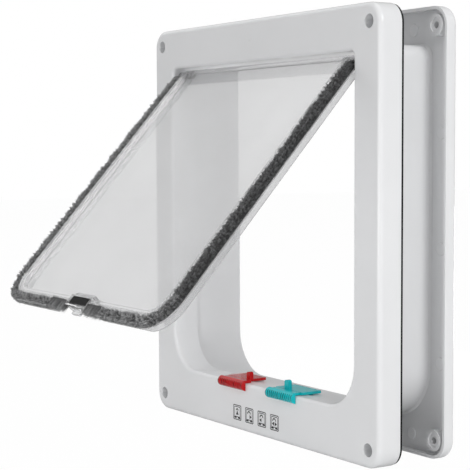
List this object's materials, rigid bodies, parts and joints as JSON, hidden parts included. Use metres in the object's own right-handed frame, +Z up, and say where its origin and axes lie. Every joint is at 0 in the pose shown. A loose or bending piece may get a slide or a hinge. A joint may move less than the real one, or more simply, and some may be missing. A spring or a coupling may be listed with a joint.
{
  "type": "cat flap",
  "caption": "Door-mounted cat flap: hollow front frame, rear frame with telescoping tunnel, clear pile-edged swinging flap and sliding sill latches.",
  "frame": {"origin": "centre of the four screw holes, in the plane where the front frame's back edge ends", "axes": "+X across the frame, +Y from the front frame through the door to the rear frame, +Z up; the flap opens towards -Y"},
  "size_m": [0.239, 0.1763, 0.25],
  "materials": {
    "white_plastic": "satin moulded ABS",
    "clear_plastic": "clear polycarbonate",
    "pile": "dense polypropylene pile",
    "foam": "closed-cell foam strip",
    "magnet": "ferrite, matt",
    "pin_steel": "drawn steel",
    "red_plastic": "glossy moulded plastic",
    "teal_plastic": "glossy moulded plastic"
  },
  "bodies": {
    "frame": {"front_frame": "white_plastic", "foam_seal": "foam", "rear_frame": "white_plastic", "sill_magnet": "magnet", "sill_magnet_cover": "white_plastic"},
    "flap": {"flap_panel": "clear_plastic", "pile_left": "pile", "pile_right": "pile", "flap_magnet": "magnet", "magnet_holder": "clear_plastic", "hinge_pin_left": "pin_steel", "hinge_pin_right": "pin_steel"},
    "red_latch": {"red_latch": "red_plastic"},
    "teal_latch": {"teal_latch": "teal_plastic"}
  },
  "joints": [
    {"name": "flap_swing", "type": "hinge", "parent": "frame", "child": "flap", "pos_m": [0, -0.0082, 0.095], "axis": [1, 0, 0], "range_deg": [-34, 117]},
    {"name": "red_latch_slide", "type": "slide", "parent": "frame", "child": "red_latch", "axis": [1, 0, 0], "range_m": [0, 0.0115]},
    {"name": "teal_latch_slide", "type": "slide", "parent": "frame", "child": "teal_latch", "axis": [1, 0, 0], "range_m": [-0.014, 0]}
  ]
}
